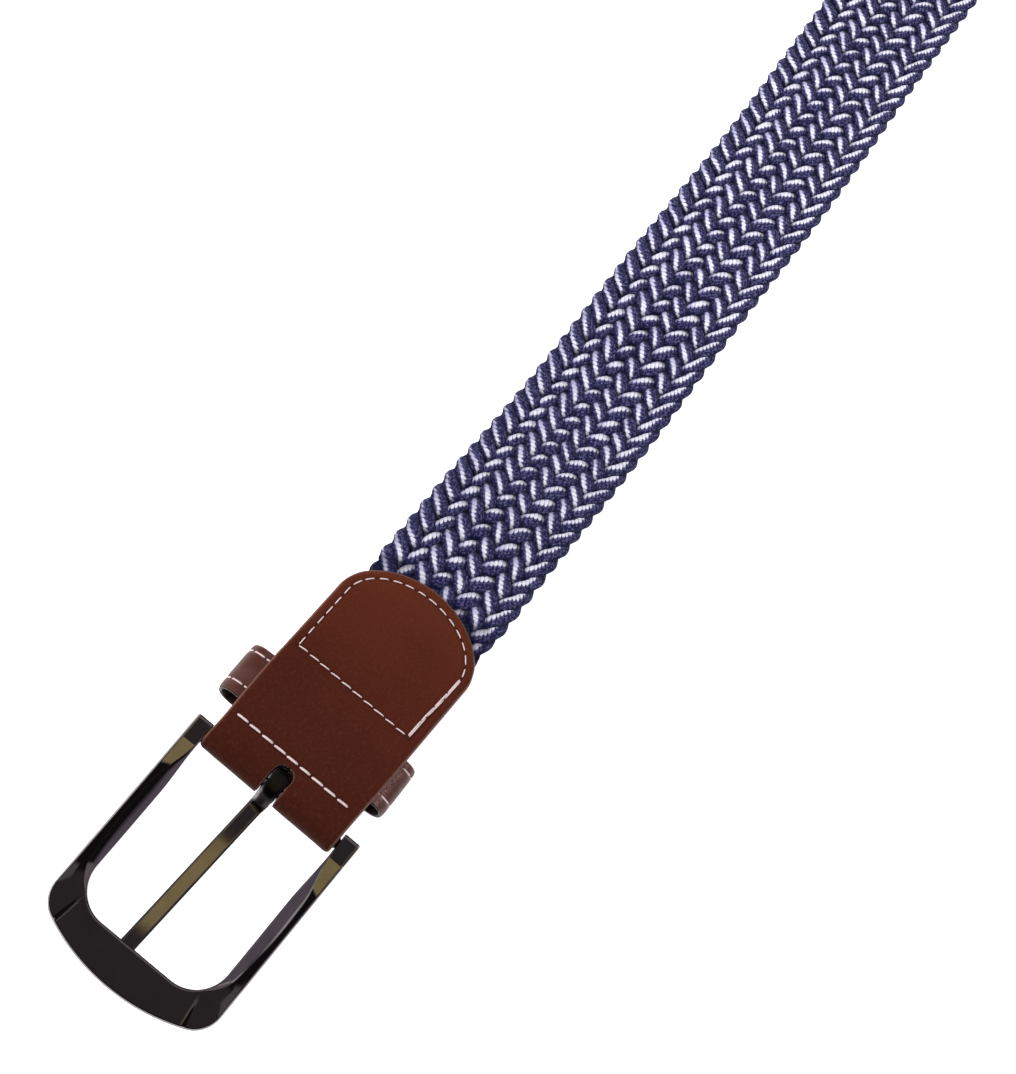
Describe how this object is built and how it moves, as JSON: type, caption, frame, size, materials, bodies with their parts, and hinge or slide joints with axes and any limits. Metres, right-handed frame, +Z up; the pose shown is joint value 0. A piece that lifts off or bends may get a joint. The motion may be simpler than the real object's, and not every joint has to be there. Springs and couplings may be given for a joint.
{
  "type": "braided belt",
  "caption": "Flat woven stretch belt with a leather buckle tab and a leather tip; a hinged metal frame with a prong and a leather keeper fastens it round the waist.",
  "frame": {"origin": "bottom centre of the bounding box, on the surface that the belt lies on", "axes": "+X from the buckle towards the tip, +Z up from the surface, +Y across the belt"},
  "size_m": [0.397, 0.056, 0.0118],
  "materials": {
    "gunmetal": "glossy dark gunmetal plating",
    "leather": "dark brown, fine pebbled grain, low sheen",
    "keeper_leather": "dark brown, smoother and slightly shinier than the tab",
    "cord": "navy knitted elastic cord with a pale stripe"
  },
  "bodies": {
    "strap": {"leather_tab": "leather", "keeper_loop": "keeper_leather", "braid_band": "cord", "leather_tip": "leather"},
    "frame": {"buckle_frame": "gunmetal", "heel_bar": "gunmetal"},
    "prong": {"prong": "gunmetal"}
  },
  "joints": [
    {"name": "frame_hinge", "type": "hinge", "parent": "strap", "child": "frame", "pos_m": [-0.14829, -0.00594, 0.00855], "axis": [-0.0157, 0.9999, 0], "range_deg": [-20, 140]},
    {"name": "prong_hinge", "type": "hinge", "parent": "frame", "child": "prong", "pos_m": [-0.14829, -0.00594, 0.00855], "axis": [-0.0157, 0.9999, 0], "range_deg": [-95, 0]}
  ]
}
